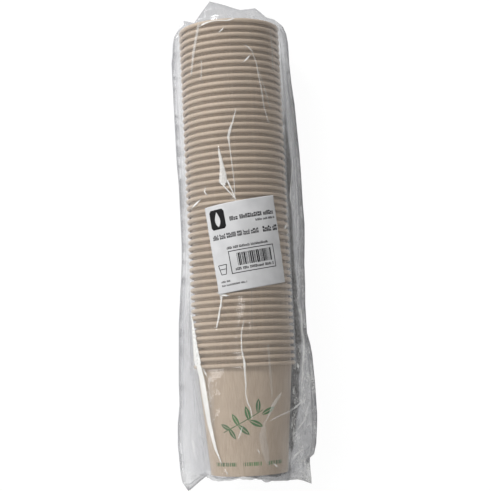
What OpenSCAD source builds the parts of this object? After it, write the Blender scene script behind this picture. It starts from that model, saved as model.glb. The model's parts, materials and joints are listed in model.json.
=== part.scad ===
// A sleeve of nested single-wall bamboo-board cups, lying on its side.
// The cups' common axis runs along +Y with every mouth towards +Y, +Z is up,
// and the origin is on the floor under the middle of the sleeve.

/* [Cup] */
// Outside diameter of the rolled rim
rim_d = 72; // [60:0.5:90]
// Outside diameter of the foot
foot_d = 54; // [46:0.5:58]
// Height of one cup, foot to rim
cup_h = 77; // [60:0.5:110]
// Thickness of the cup board
board_t = 0.3; // [0.2:0.05:0.4]
// Outside diameter of the rolled rim's bead
roll_d = 3; // [2.2:0.1:3.6]
// Depth of the recess under the cup's bottom
recess = 4.58; // [4.4:0.02:8]
// Height of the hem that is folded in over the bottom's skirt
hem_h = 4; // [2:0.1:4.2]

/* [Stack] */
// Number of cups in the sleeve
cup_count = 50; // [25:1:50]

/* [Film sleeve] */
// Thickness of the film
film_t = 0.1; // [0.05:0.05:0.3]
// Gap between the cups and the film that is drawn over them
film_gap = 0.3; // [0.2:0.05:1]
// Half width of the flattened sleeve at its mouth
mouth_half_w = 42; // [40:0.5:46]
// Half width of the flattened sleeve along the stack
stack_half_w = 45; // [43:0.5:49]
// Half width of the flattened sleeve beside the first cup
foot_half_w = 51; // [48:0.5:56]
// Half width of the sleeve where its end is welded flat
weld_half_w = 38; // [30:0.5:46]
// Reach of the film's upper side past the last rim
mouth_reach = 3; // [1:0.5:10]
// Reach of the tail, the longer lower side of the film, past the last rim
tail_reach = 33; // [20:1:60]
// Length of the slope from the first cup's foot down to the end weld
slope_len = 7.5; // [6:0.5:16]
// Reach of the end fin's two ears past the weld line
ear_reach = 7; // [3:0.5:12]
// Width of the weld that closes the sleeve's end
weld_w = 2; // [1:0.5:3]

/* [Label] */
// Width of the paper label, straight across
label_w = 52; // [30:1:60]
// Length of the paper label, along the stack
label_l = 61; // [40:1:90]
// Thickness of the paper label
label_t = 0.15; // [0.1:0.05:0.3]
// Turn of the label from square
label_turn = 8; // [-15:1:15]
// Turn of the label round the stack, off the top
label_round = 10; // [-10:1:14]
// Distance from the first rim to the label's middle
label_y = 81; // [60:1:120]

/* [Hidden] */
// Fineness of round pieces, and sides of the roll, which is small enough to show none
$fn = 96;
roll_sides = 12;
// Overrun that lets a cut pass right through
over = 1;
// Glue line between plies of board
glue_gap = 0.02;
// Least gap between the walls of two nested cups
nest_gap = 0.05;
// Angle of the roll that is left open under the bead
roll_open_a = 45;

foot_r = foot_d / 2;
roll_r = roll_d / 2;
rim_r = rim_d / 2;
roll_z = cup_h - roll_r;
mouth_r = rim_r - roll_d;
taper = (mouth_r + board_t - foot_r) / roll_z;
// A cup nests until its foot meets the next cup's bottom, or their walls meet
nest_pitch = max(recess + board_t, (board_t + nest_gap) / taper);
stack_l = (cup_count - 1) * nest_pitch;

// Outside of the film's arch over the rims, and the cups' axis at its centre
arch_r = rim_r + film_gap + film_t;
axis_z = arch_r;
pack_l = ear_reach + slope_len + cup_h + stack_l + tail_reach;
foot_y = -pack_l / 2 + ear_reach + slope_len;
first_rim_y = foot_y + cup_h;
last_rim_y = first_rim_y + stack_l;
weld_y = foot_y - slope_len;
mouth_y = last_rim_y + mouth_reach;

// The first and the last cup, the ones in full view, have a node for each of their pieces
function cup_name(n) = str("cup_", n < 10 ? "0" : "", n);
function wall_name(n) = str(cup_name(n), "_wall");
function bottom_name(n) = str(cup_name(n), "_bottom");
function is_end(n) = n == 1 || n == cup_count;
CUP_NODES = [for (n = [1 : cup_count])
    each is_end(n) ? [wall_name(n), bottom_name(n)] : [cup_name(n)]];

// Outside radius of a cup's wall at a height above its foot
function wall_r(z) = foot_r + taper * z;

// The side wall: one ply up to the roll, and at the foot a hem folded inside the skirt
module wall_section() {
    hem_out = 2 * board_t + 2 * glue_gap;
    hem_in = hem_out + board_t;
    polygon([
        [wall_r(0), 0],
        [wall_r(roll_z), roll_z],
        [wall_r(roll_z) - board_t, roll_z],
        [wall_r(board_t) - board_t, board_t],
        [wall_r(board_t) - hem_out, board_t],
        [wall_r(hem_h) - hem_out, hem_h],
        [wall_r(hem_h) - hem_in, hem_h],
        [wall_r(0) - hem_in, 0]
    ]);
}

// The rolled rim: the board curls out and down, and stops short of the wall
module roll_section() {
    far = 2 * roll_r;
    translate([mouth_r + roll_r, roll_z])
        difference() {
            circle(r = roll_r, $fn = roll_sides);
            circle(r = roll_r - board_t, $fn = roll_sides);
            polygon([
                [0, 0],
                [-far, 0],
                [-far * cos(roll_open_a), -far * sin(roll_open_a)]
            ]);
        }
}

// The bottom: a disc whose skirt is turned down between the wall and its hem
module bottom_section() {
    skirt_out = board_t + glue_gap;
    skirt_in = skirt_out + board_t;
    skirt_z = board_t + glue_gap;
    disc_z = recess + board_t;
    polygon([
        [0, recess],
        [wall_r(recess) - skirt_in, recess],
        [wall_r(skirt_z) - skirt_in, skirt_z],
        [wall_r(skirt_z) - skirt_out, skirt_z],
        [wall_r(disc_z) - skirt_out, disc_z],
        [0, disc_z]
    ]);
}

// Lays a piece that is drawn upright at a cup's foot along the stack
module in_stack(n) {
    translate([0, foot_y + (n - 1) * nest_pitch, axis_z])
        rotate([-90, 0, 0])
            children();
}

module cup_wall(n) {
    color([0.72, 0.65, 0.56])
        in_stack(n)
            rotate_extrude() {
                wall_section();
                roll_section();
            }
}

module cup_bottom(n) {
    color([0.7, 0.63, 0.54])
        in_stack(n)
            rotate_extrude() bottom_section();
}

// Height of the film over the first cup's foot, and the place where its slope begins
over_foot = axis_z + foot_r + film_gap + film_t;
slope_y = foot_y - film_gap - film_t;
weld_h = 2 * film_t;
// Half width of the end fin at its ears' tips, as a share of the sleeve's beside the cup
ear_tip_share = 0.88;
// Places of the film's sections: shares of the slope, of the first cup and of the stack
slope_shares = [0, 0.03, 0.1, 0.25, 0.5, 0.75, 1];
foot_shares = [0.25, 0.5, 0.75, 1];
stack_shares = [0.1, 0.25, 0.4, 0.55, 0.7, 0.85, 1];
// Segments of the arch in one section
arch_steps = 28;
shoulder_y = first_rim_y - roll_d;
FILM_Y = concat(
    [for (s = slope_shares) weld_y + s * (slope_y - weld_y)],
    [for (s = foot_shares) slope_y + s * (shoulder_y - slope_y)],
    [for (s = stack_shares) shoulder_y + s * (mouth_y - shoulder_y)]
);

// How far the film has risen from the weld to the foot's top edge, from 0 to 1
function film_rise(y) = sqrt(min(1, (y - weld_y) / (slope_y - weld_y)));

// Height of the sleeve's upper side at a place along it
function film_top(y) = lookup(y, [
    [slope_y, weld_h + (over_foot - weld_h) * film_rise(y)],
    [shoulder_y, 2 * arch_r]
]);

function film_half_w(y) = lookup(y, [
    [weld_y, weld_half_w],
    [slope_y, (weld_half_w + 3 * foot_half_w) / 4],
    [foot_y + foot_r / 2, foot_half_w],
    [foot_y + cup_h / 2, foot_half_w],
    [first_rim_y + cup_h / 2, stack_half_w],
    [(first_rim_y + last_rim_y) / 2, stack_half_w],
    [mouth_y, mouth_half_w]
]);

// One section of the sleeve at the place "at". It has a flat underside and an arch with a
// side tangent to it at each wing, and it flattens towards the weld. The inside is the
// outside drawn in about the arch's centre.
function film_section(y, inset, at) =
    let (
        r = film_top(y) / 2,
        w = film_half_w(y),
        keep = (r - inset) / r,
        side_a = 2 * atan(r / w),
        arch = min(1, 3 * film_rise(y)),
        top = [for (i = [0 : arch_steps])
            let (
                share = 2 * i / arch_steps - 1,
                a = side_a * share,
                flat_x = w * share * arch_steps / (arch_steps + 1)
            )
            [arch * r * sin(a) + (1 - arch) * flat_x, arch * r * cos(a) + (1 - arch) * r]]
    )
    [for (p = concat([[-w, -r]], top, [[w, -r]])) [keep * p[0], at, r + keep * p[1]]];

// The triangles of a skin through rings of the same length, numbered from first
function skin(first, rings, size) = [
    for (j = [0 : rings - 2], i = [0 : size - 1])
        let (
            a = first + j * size + i,
            b = first + j * size + (i + 1) % size,
            c = b + size,
            d = a + size
        )
        each [[a, c, b], [a, d, c]]
];

function reversed(faces) = [for (f = faces) [f[2], f[1], f[0]]];

// The triangles that close a ring of the given first point
function fan(first, size) = [for (i = [1 : size - 2]) [first, first + i + 1, first + i]];

// The film's tube from the weld to the mouth
module film_tube() {
    size = arch_steps + 3;
    rings = len(FILM_Y);
    outer = [for (y = FILM_Y) each film_section(y, 0, y)];
    inner = [for (j = [1 : rings - 1])
        each film_section(FILM_Y[j], film_t, min(FILM_Y[j] + film_t, mouth_y))];
    inner_first = len(outer);
    outer_last = (rings - 1) * size;
    inner_last = inner_first + (rings - 2) * size;
    polyhedron(
        points = concat(outer, inner),
        faces = concat(
            skin(0, rings, size),
            reversed(skin(inner_first, rings - 1, size)),
            reversed(fan(0, size)),
            fan(inner_first, size),
            [for (i = [0 : size - 1])
                let (
                    a = outer_last + i,
                    b = outer_last + (i + 1) % size,
                    c = inner_last + (i + 1) % size,
                    d = inner_last + i
                )
                each [[a, c, b], [a, d, c]]]
        )
    );
}

// The tail, the film's lower side, lies flat past the mouth and ends in a torn edge
module film_tail() {
    edge_shares = [
        [-0.8, 0.53], [-0.62, 0.45], [-0.32, 1], [0.22, 0.73], [0.51, 0.76], [0.92, 0.22]
    ];
    w = mouth_half_w;
    reach = last_rim_y + tail_reach - mouth_y;
    linear_extrude(height = film_t)
        polygon(concat(
            [[-w, mouth_y - weld_w], [-w, mouth_y]],
            [for (s = edge_shares) [s[0] * w, mouth_y + s[1] * reach]],
            [[w, mouth_y], [w, mouth_y - weld_w]]
        ));
}

// The end fin: two plies welded flat, with an ear at each corner
module end_fin() {
    edge_shares = [[-0.62, 0.05], [-0.4, 0.3], [-0.1, 0.15], [0.72, 0.4]];
    inner_y = slope_y + foot_r / 4;
    side = film_half_w(inner_y) / foot_half_w;
    outline_shares = concat(
        [[-ear_tip_share, 1]], edge_shares, [[ear_tip_share, 0.85]]
    );
    linear_extrude(height = weld_h)
        polygon(concat(
            [[-side * foot_half_w, inner_y]],
            [for (s = outline_shares) [s[0] * foot_half_w, weld_y - s[1] * ear_reach]],
            [[side * foot_half_w, inner_y], [film_half_w(slope_y), slope_y],
             [weld_half_w, weld_y + weld_w], [-weld_half_w, weld_y + weld_w],
             [-film_half_w(slope_y), slope_y]]
        ));
}

module film_sleeve() {
    color([0.86, 0.88, 0.9, 0.35]) {
        film_tube();
        film_tail();
        end_fin();
    }
}

// The paper label, stuck on the film over the stack
module label() {
    inside_r = arch_r + glue_gap;
    mid_y = first_rim_y + label_y;
    outside_r = inside_r + label_t;
    color([0.84, 0.85, 0.87])
        translate([0, 0, axis_z])
            rotate([0, label_round, 0])
                intersection() {
                    translate([0, mid_y - label_l, 0])
                        rotate([-90, 0, 0])
                            difference() {
                                cylinder(r = outside_r, h = 2 * label_l);
                                translate([0, 0, -over])
                                    cylinder(r = inside_r, h = 2 * label_l + 2 * over);
                            }
                    translate([0, mid_y, 0])
                        rotate([0, 0, label_turn])
                            translate([-label_w / 2, -label_l / 2, 0])
                                cube([label_w, label_l, 2 * outside_r]);
                }
}

for (n = [1 : cup_count]) {
    cup_wall(n);
    cup_bottom(n);
}
film_sleeve();
label();
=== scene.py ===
import json
import math

import bpy
import numpy as np
from mathutils import Matrix, Vector, geometry

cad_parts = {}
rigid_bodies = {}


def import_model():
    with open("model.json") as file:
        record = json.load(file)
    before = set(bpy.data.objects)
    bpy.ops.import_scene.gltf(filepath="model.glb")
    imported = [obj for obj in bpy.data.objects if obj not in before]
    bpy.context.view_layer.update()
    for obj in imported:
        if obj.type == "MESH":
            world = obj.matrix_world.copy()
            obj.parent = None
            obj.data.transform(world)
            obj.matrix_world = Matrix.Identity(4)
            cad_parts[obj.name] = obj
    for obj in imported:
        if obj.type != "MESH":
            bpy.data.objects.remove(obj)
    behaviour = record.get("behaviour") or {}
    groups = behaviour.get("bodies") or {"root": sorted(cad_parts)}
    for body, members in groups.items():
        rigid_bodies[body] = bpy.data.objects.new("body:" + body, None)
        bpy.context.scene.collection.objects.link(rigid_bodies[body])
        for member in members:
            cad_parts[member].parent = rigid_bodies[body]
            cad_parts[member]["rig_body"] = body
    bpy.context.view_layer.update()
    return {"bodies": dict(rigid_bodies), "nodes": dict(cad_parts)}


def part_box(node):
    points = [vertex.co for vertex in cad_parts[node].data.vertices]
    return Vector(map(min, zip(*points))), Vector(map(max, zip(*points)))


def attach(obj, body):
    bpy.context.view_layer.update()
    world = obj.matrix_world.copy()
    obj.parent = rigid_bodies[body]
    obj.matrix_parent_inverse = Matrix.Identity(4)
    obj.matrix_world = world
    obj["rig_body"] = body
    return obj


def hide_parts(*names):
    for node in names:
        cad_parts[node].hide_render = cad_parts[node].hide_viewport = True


# A clear film sleeve of fifty nested bamboo-board cups, lying on its side with the mouths towards +Y
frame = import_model()
MM = 0.001

# Sizes of a cup, in millimetres. Its height, rim and place come from the frame
FOOT_R = 27.0
BOARD_T = 0.3
ROLL_R = 1.5
ROLL_OPEN_A = 45     # how far the curled rim stays open, in degrees
RECESS = 4.58        # from the foot up to the bottom
HEM_H = 4.0
GLUE = 0.02
STAND_OFF = 0.02     # room between a bottom and the cup that stands on it

CUPS = sorted(body for body in frame["bodies"] if body.startswith("cup_"))
FIRST_LOW, FIRST_HIGH = (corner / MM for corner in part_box(f"{CUPS[0]}_wall"))
CUP_H = FIRST_HIGH.y - FIRST_LOW.y
RIM_R = (FIRST_HIGH.x - FIRST_LOW.x) / 2
AXIS_Z = (FIRST_HIGH.z + FIRST_LOW.z) / 2
ROLL_Z = CUP_H - ROLL_R
MOUTH_R = RIM_R - 2 * ROLL_R
TAPER = (MOUTH_R + BOARD_T - FOOT_R) / ROLL_Z


def cup_nodes(body):
    """The CAD nodes that ride on a cup's body."""
    return sorted(n for n, o in frame["nodes"].items() if o["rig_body"] == body)


def foot_place(body):
    """Where a cup's foot lies along the sleeve, in millimetres."""
    return min(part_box(node)[0].y for node in cup_nodes(body)) / MM


FOOT_Y = {body: foot_place(body) for body in CUPS}
FIRST_RIM = FOOT_Y[CUPS[0]] + CUP_H
LAST_RIM = FOOT_Y[CUPS[-1]] + CUP_H
PITCH = (LAST_RIM - FIRST_RIM) / (len(CUPS) - 1)

# Sizes of the label, in millimetres: its turn on the film, how far round the stack and how far along it lies
LABEL_W = 52.0
LABEL_L = 61.0
LABEL_T = 0.15
LABEL_TURN = math.radians(8)
LABEL_ROUND = math.radians(10)
LABEL_Y = FIRST_RIM + 81.0

# The photograph's camera, in millimetres and pixels of its 491 pixel frame
CAMERA_PLACE = (4.7, -84.3, 931.8)
CAMERA_TIP = math.radians(4.91)
CAMERA_ROLL = math.radians(2.77)
FOCAL_PX = 1260.9
FRAME_PX = 491
SENSOR_MM = 36.0


def camera_turn():
    """The camera's axes in the frame: tipped about X, then rolled in its own plane."""
    tip = Matrix.Rotation(-CAMERA_TIP, 3, "X")
    roll = Matrix.Rotation(CAMERA_ROLL, 3, "Z")
    return (roll @ tip).transposed()


def film_point(px, py):
    """The point (x, y) on the sleeve's upper side that shows at a pixel of the photograph. A few rounds find
    the film's height there, since the height decides where the pixel's ray meets it."""
    ray = camera_turn() @ Vector((px - FRAME_PX / 2, FRAME_PX / 2 - py, -FOCAL_PX))
    place = Vector(CAMERA_PLACE)
    height = 2 * AXIS_Z
    for _ in range(6):
        hit = place + ray * ((height - place.z) / ray.z)
        radius = section_radius(hit.y)
        height = AXIS_Z + math.sqrt(max(radius**2 - min(abs(hit.x), radius) ** 2, 0))
    return hit.x, hit.y


def placed(name, data):
    """A new object of the scene, with its data."""
    thing = bpy.data.objects.new(name, data)
    bpy.context.scene.collection.objects.link(thing)
    return thing


# Shader and geometry sums

class Sum:
    """A number socket of a node tree that takes part in Python expressions."""

    def __init__(self, tree, socket):
        self.tree, self.socket = tree, socket

    def math(self, operation, *others):
        node = self.tree.add("ShaderNodeMath", operation=operation,
                             sockets=dict(enumerate([self, *others])))
        return Sum(self.tree, node.outputs[0])

    def __add__(self, other): return self.math("ADD", other)
    def __radd__(self, other): return self.math("ADD", other)
    def __sub__(self, other): return self.math("SUBTRACT", other)
    def __rsub__(self, other): return self.tree.number(other).math("SUBTRACT", self)
    def __mul__(self, other): return self.math("MULTIPLY", other)
    def __rmul__(self, other): return self.math("MULTIPLY", other)
    def __truediv__(self, other): return self.math("DIVIDE", other)
    def __rtruediv__(self, other): return self.tree.number(other).math("DIVIDE", self)
    def __neg__(self): return self.math("MULTIPLY", -1.0)
    def __abs__(self): return self.math("ABSOLUTE")

    def up_to(self, other): return self.math("MINIMUM", other)
    def at_least(self, other): return self.math("MAXIMUM", other)

    def between(self, low, high):
        """0 below low, 1 above high, and a smooth rise between them. high may be the lower one."""
        node = self.tree.add("ShaderNodeMapRange", interpolation_type="SMOOTHSTEP",
                             sockets={"Value": self, "From Min": low, "From Max": high})
        return Sum(self.tree, node.outputs["Result"])


class Tree:
    """A node tree, of a material or of geometry, with one method that adds any node."""

    def __init__(self, nodes, links):
        self.nodes, self.links = nodes, links

    def add(self, kind, sockets=None, **settings):
        node = self.nodes.new(kind)
        for name, value in settings.items():
            setattr(node, name, value)
        for name, value in (sockets or {}).items():
            self.feed(node.inputs[name], value)
        return node

    def feed(self, socket, value):
        if isinstance(value, Sum):
            value = value.socket
        if isinstance(value, bpy.types.NodeSocket):
            self.links.new(value, socket)
        else:
            socket.default_value = value

    def number(self, value):
        return Sum(self, self.add("ShaderNodeMath", operation="ADD",
                                  sockets={0: float(value), 1: 0.0}).outputs[0])

    def sum_of(self, socket):
        return Sum(self, socket)

    def parts(self, vector):
        node = self.add("ShaderNodeSeparateXYZ", {"Vector": vector})
        return [Sum(self, node.outputs[axis]) for axis in "XYZ"]

    def joined(self, x, y, z=0.0):
        return self.add("ShaderNodeCombineXYZ", {"X": x, "Y": y, "Z": z}).outputs[0]

    def scaled(self, vector, scale):
        """A vector with each of its parts scaled, which draws a pattern out where the scale is small."""
        return self.add("ShaderNodeMapping", {"Vector": vector, "Scale": scale}).outputs[0]

    def noise(self, vector, scale, detail=2.0, roughness=0.5, distortion=0.0):
        node = self.add("ShaderNodeTexNoise", {
            "Vector": vector, "Scale": scale, "Detail": detail,
            "Roughness": roughness, "Distortion": distortion})
        return Sum(self, node.outputs[0])

    def mixed(self, share, first, second):
        """Two shaders, mixed by the share that the second one has."""
        return self.add("ShaderNodeMixShader", {
            0: share, 1: first.outputs[0], 2: second.outputs[0]})


class Finish(Tree):
    """A material's tree, with its Principled shader."""

    def __init__(self, name):
        self.material = bpy.data.materials.new(name)
        self.material.use_nodes = True
        tree = self.material.node_tree
        super().__init__(tree.nodes, tree.links)
        self.body = tree.nodes["Principled BSDF"]
        self.out = tree.nodes["Material Output"]

    def set(self, **sockets):
        for name, value in sockets.items():
            self.feed(self.body.inputs[name.replace("_", " ")], value)

    def attribute(self, name):
        return self.add("ShaderNodeAttribute", attribute_name=name)

    def field(self, name):
        """The value that a mesh keeps at each point under a name."""
        return self.sum_of(self.attribute(name).outputs["Fac"])

    def shade(self, low, high, mask):
        """A colour between two, by a mask from 0 to 1."""
        node = self.add("ShaderNodeMix", data_type="RGBA",
                        sockets={"Factor": mask, 6: low, 7: high})
        return node.outputs[2]

    def bump(self, height, distance, strength=1.0):
        node = self.add("ShaderNodeBump", {
            "Height": height, "Distance": distance, "Strength": strength})
        self.set(Normal=node.outputs[0])
        return node.outputs[0]

    def show(self, shader):
        """Makes a shader the material's surface."""
        self.feed(self.out.inputs["Surface"], shader.outputs[0])


def colour(red, green, blue):
    """A colour as a screen writes it, from 0 to 255, as the linear one that shaders take."""
    def linear(level):
        share = level / 255
        return share / 12.92 if share <= 0.04045 else ((share + 0.055) / 1.055) ** 2.4
    return (linear(red), linear(green), linear(blue), 1.0)


# Cups: one blank of board rolled to a cone, with a curled rim and a bottom let in above a hem

SEAM_A = math.radians(69)
SEAM_STRAY = math.radians(1.5)     # how far a cup's seam may lie from the next one's
SEAM_LAP = 6.0
LAP_RISE = 0.09
RIM_UNEVEN = 0.35
RING_SIDES = 96
SWEEP_R = 30.0


def wall_r(height):
    """The cup's outer radius at a height over its foot."""
    return FOOT_R + TAPER * height


def arc(centre, radius, first, last, steps):
    """Points of an arc from the first angle to the last, in degrees."""
    return [(centre[0] + radius * math.cos(math.radians(a)), centre[1] + radius * math.sin(math.radians(a)))
            for a in np.linspace(first, last, steps)]


def wall_outline():
    """Half section of the side wall: up its outside, round the curl, down its inside and round the hem."""
    curl = (MOUTH_R + ROLL_R, ROLL_Z)
    curl_end = -180 + ROLL_OPEN_A
    hem_out = 2 * BOARD_T + 2 * GLUE
    hem_in = hem_out + BOARD_T
    fold = BOARD_T / 3
    outside = [(wall_r(0) - fold, 0), (wall_r(0) - fold / 4, fold / 4), (wall_r(fold), fold)]
    outside += [(wall_r(z), z) for z in np.linspace(1, ROLL_Z - 1, 9)]
    inside = [(wall_r(z) - BOARD_T, z) for z in np.linspace(ROLL_Z - 1, BOARD_T, 8)]
    hem = [(wall_r(BOARD_T) - hem_out, BOARD_T), (wall_r(HEM_H) - hem_out, HEM_H),
           (wall_r(HEM_H) - hem_in, HEM_H), (wall_r(0) - hem_in, 0)]
    return (outside + arc(curl, ROLL_R - BOARD_T, 180, curl_end, 12)
            + arc(curl, ROLL_R, curl_end, 180, 24) + inside + hem)


def bottom_outline():
    """Half section of the bottom: a disc with its skirt turned down inside the wall."""
    skirt_out = BOARD_T + GLUE
    skirt_in = skirt_out + BOARD_T
    foot = BOARD_T + GLUE
    top = RECESS + BOARD_T - STAND_OFF
    bend = 0.6
    return [(0, RECESS), (12, RECESS), (wall_r(RECESS) - skirt_in - bend, RECESS),
            (wall_r(RECESS) - skirt_in - bend / 4, RECESS - bend / 4),
            (wall_r(RECESS) - skirt_in, RECESS - bend), (wall_r(foot) - skirt_in, foot),
            (wall_r(foot) - skirt_out, foot), (wall_r(RECESS) - skirt_out, RECESS - bend / 2),
            (wall_r(top) - skirt_out - bend / 4, top - bend / 4),
            (wall_r(top) - skirt_out - bend, top), (12, top), (0, top)]


def outline_mesh(name, outline):
    """The outline as a line of edges, in metres, set out from the ring that it is swept round. It is closed
    unless both its ends lie on the axis, where the sweep closes it."""
    points = [((r - SWEEP_R) * MM, -z * MM, 0) for r, z in reversed(outline)]
    on_axis = outline[0][0] == 0 and outline[-1][0] == 0
    edges = [(i, (i + 1) % len(points)) for i in range(len(points) - on_axis)]
    mesh = bpy.data.meshes.new(name)
    mesh.from_pydata(points, edges, [])
    return mesh


BOARD_SOCKETS = {
    "Foot Place": "NodeSocketFloat",
    "Axis Height": "NodeSocketFloat",
    "Sweep Radius": "NodeSocketFloat",
    "Ring Sides": "NodeSocketInt",
    "Seam Angle": "NodeSocketFloat",
    "Lap Angle": "NodeSocketFloat",
    "Lap Rise": "NodeSocketFloat",
    "Rim Height": "NodeSocketFloat",
    "Rim Unevenness": "NodeSocketFloat",
    "Seed": "NodeSocketFloat",
    "Board": "NodeSocketMaterial",
}


def rolled_board():
    """The rule for every board piece: its outline is swept round the cup's axis, gets its side seam and a
    slightly uneven rim, keeps its upright place for the board's finish, and is laid in the stack."""
    group = bpy.data.node_groups.new("rolled_board", "GeometryNodeTree")
    group.interface.new_socket(name="Geometry", in_out="INPUT", socket_type="NodeSocketGeometry")
    for name, kind in BOARD_SOCKETS.items():
        group.interface.new_socket(name=name, in_out="INPUT", socket_type=kind)
    group.interface.new_socket(name="Geometry", in_out="OUTPUT", socket_type="NodeSocketGeometry")
    tree = Tree(group.nodes, group.links)
    given = tree.add("NodeGroupInput")
    size = {name: tree.sum_of(given.outputs[name]) for name in BOARD_SOCKETS}

    profile = tree.add("GeometryNodeMeshToCurve", {"Mesh": given.outputs["Geometry"]})
    ring = tree.add("GeometryNodeCurvePrimitiveCircle", {
        "Resolution": size["Ring Sides"], "Radius": size["Sweep Radius"]})
    swept = tree.add("GeometryNodeCurveToMesh", {
        "Curve": ring.outputs[0], "Profile Curve": profile.outputs[0]})
    closed = tree.add("GeometryNodeMergeByDistance", {"Geometry": swept.outputs[0], "Distance": 1e-6})

    place = tree.add("GeometryNodeInputPosition").outputs[0]
    x, y, z = tree.parts(place)
    angle = x.math("ARCTAN2", -y)
    past_seam = (angle - size["Seam Angle"]) / size["Lap Angle"]
    lap = past_seam.between(-0.08, 0.02) * past_seam.between(1.3, 0.6)
    rim = z.between(size["Rim Height"] * 0.9, size["Rim Height"] * 0.96)
    outward = tree.add("ShaderNodeVectorMath", operation="NORMALIZE",
                       sockets={0: tree.joined(x, y)}).outputs[0]
    shifted = tree.add("ShaderNodeVectorMath", operation="ADD", sockets={
        0: outward, 1: tree.joined(size["Seed"], size["Seed"] * 0.37)}).outputs[0]
    uneven = (tree.noise(shifted, 1.6, 1.0) - 0.5) * size["Rim Unevenness"]
    rise = lap * size["Lap Rise"] * (0.4 + rim) + rim * uneven
    shift = tree.add("ShaderNodeVectorMath", operation="SCALE",
                     sockets={0: outward, "Scale": rise}).outputs[0]
    seamed = tree.add("GeometryNodeSetPosition", {"Geometry": closed.outputs[0], "Offset": shift})
    marked = tree.add("GeometryNodeStoreNamedAttribute", data_type="FLOAT_VECTOR", sockets={
        "Geometry": seamed.outputs[0], "Name": "upright", "Value": place})
    laid = tree.add("GeometryNodeTransform", {
        "Geometry": marked.outputs[0], "Rotation": (math.radians(-90), 0, 0),
        "Translation": tree.joined(0.0, size["Foot Place"], size["Axis Height"])})
    real = tree.add("GeometryNodeRealizeInstances", {"Geometry": laid.outputs[0]})
    smooth = tree.add("GeometryNodeSetShadeSmooth", {"Geometry": real.outputs[0]})
    finished = tree.add("GeometryNodeSetMaterial", {
        "Geometry": smooth.outputs[0], "Material": size["Board"]})
    tree.add("NodeGroupOutput", {"Geometry": finished.outputs[0]})
    return group


def board_piece(name, body, group, outline, board):
    """One board piece of one cup, as a plain mesh that rides on the cup's body."""
    maker = placed(name + "_maker", outline)
    rule = maker.modifiers.new("rolled_board", "NODES")
    rule.node_group = group
    cup_number = CUPS.index(body)
    sizes = {
        "Foot Place": FOOT_Y[body] * MM,
        "Axis Height": AXIS_Z * MM,
        "Sweep Radius": SWEEP_R * MM,
        "Ring Sides": RING_SIDES,
        "Seam Angle": SEAM_A + SEAM_STRAY * math.sin(2.4 * cup_number),
        "Lap Angle": SEAM_LAP / RIM_R,
        "Lap Rise": LAP_RISE * MM,
        "Rim Height": CUP_H * MM,
        "Rim Unevenness": RIM_UNEVEN * MM,
        "Seed": 3.7 * cup_number,
        "Board": board,
    }
    for item in group.interface.items_tree:
        if item.item_type == "SOCKET" and item.name in sizes:
            rule[item.identifier] = sizes[item.name]
    bpy.context.view_layer.update()
    evaluated = maker.evaluated_get(bpy.context.evaluated_depsgraph_get())
    mesh = bpy.data.meshes.new_from_object(evaluated)
    bpy.data.objects.remove(maker)
    mesh.name = name
    piece = placed(name, mesh)
    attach(piece, body)
    return piece


# The board's finish, with its print. Places of the print are millimetres round the wall and up it

# The sprig's leaves: centre, turn in degrees, half length and half width
SPRIG_LEAVES = [
    ((-15.5, 33.6), 152, 4.6, 1.5), ((-11.2, 29.4), -58, 4.8, 1.6), ((-7.8, 38.2), 118, 5.2, 1.7),
    ((-2.6, 31.6), -42, 5.4, 1.8), ((0.6, 42.4), 104, 5.4, 1.8), ((6.2, 35.6), -26, 5.6, 1.9),
    ((8.0, 47.2), 86, 5.2, 1.7), ((15.2, 43.6), 24, 5.6, 1.8),
]
STEM = (-18.0, 11.2)
STEM_W = 0.32
SPRIG_R = FOOT_R + 3.4

# The dashes: where each group begins and ends, the height of their middle, and a dash's half length and cell
DASH_GROUPS = [(-25.5, -8.5), (-4.0, 8.5), (13.0, 26.0)]
DASH_H = 8.2
DASH_HALF = 1.45
DASH_CELL = 1.5


def lens(s, h, centre, turn, length, width):
    """A leaf: a lens shape with a bare vein, at a centre on the wall."""
    soft = 0.12
    c, d = math.cos(math.radians(turn)), math.sin(math.radians(turn))
    along = (s - centre[0]) * c + (h - centre[1]) * d
    across = abs((h - centre[1]) * c - (s - centre[0]) * d)
    edge = width - along * along * (width / length**2) - across
    vein = across.between(0.16, 0.3).at_least(along.between(length * 0.55, length * 0.75))
    return edge.between(-soft, soft) * vein


def sprig(s, h):
    """A printed sprig of leaves on a curved stem."""
    soft = 0.2
    first, last = STEM
    run = s - (first + 1)
    stem_h = 30.5 + run * 0.42 + run * run * 0.0028
    drawn = (abs(h - stem_h).between(STEM_W + soft / 2, STEM_W - soft / 2)
             * s.between(first - soft, first + soft) * s.between(last + soft, last - soft))
    for centre, turn, length, width in SPRIG_LEAVES:
        drawn = drawn.at_least(lens(s, h, centre, turn, length, width))
    return drawn


def dashes(tree, s, h):
    """Upright printed dashes of uneven width round the foot, in groups with bare stretches between them."""
    inside = tree.number(0.0)
    for first, last in DASH_GROUPS:
        inside = inside.at_least(s.between(first, first + 0.1) * s.between(last, last - 0.1))
    number = (s / DASH_CELL).math("FLOOR")
    share = (s / DASH_CELL).math("FRACT")
    pick = tree.add("ShaderNodeTexWhiteNoise", noise_dimensions="1D", sockets={"W": number})
    end = tree.sum_of(pick.outputs["Value"]) * 0.35
    dash = share.between(0.1, 0.14) * share.between(0.55 + end, 0.5 + end)
    return inside * dash * abs(h - DASH_H).between(DASH_HALF, DASH_HALF * 0.8)


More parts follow.
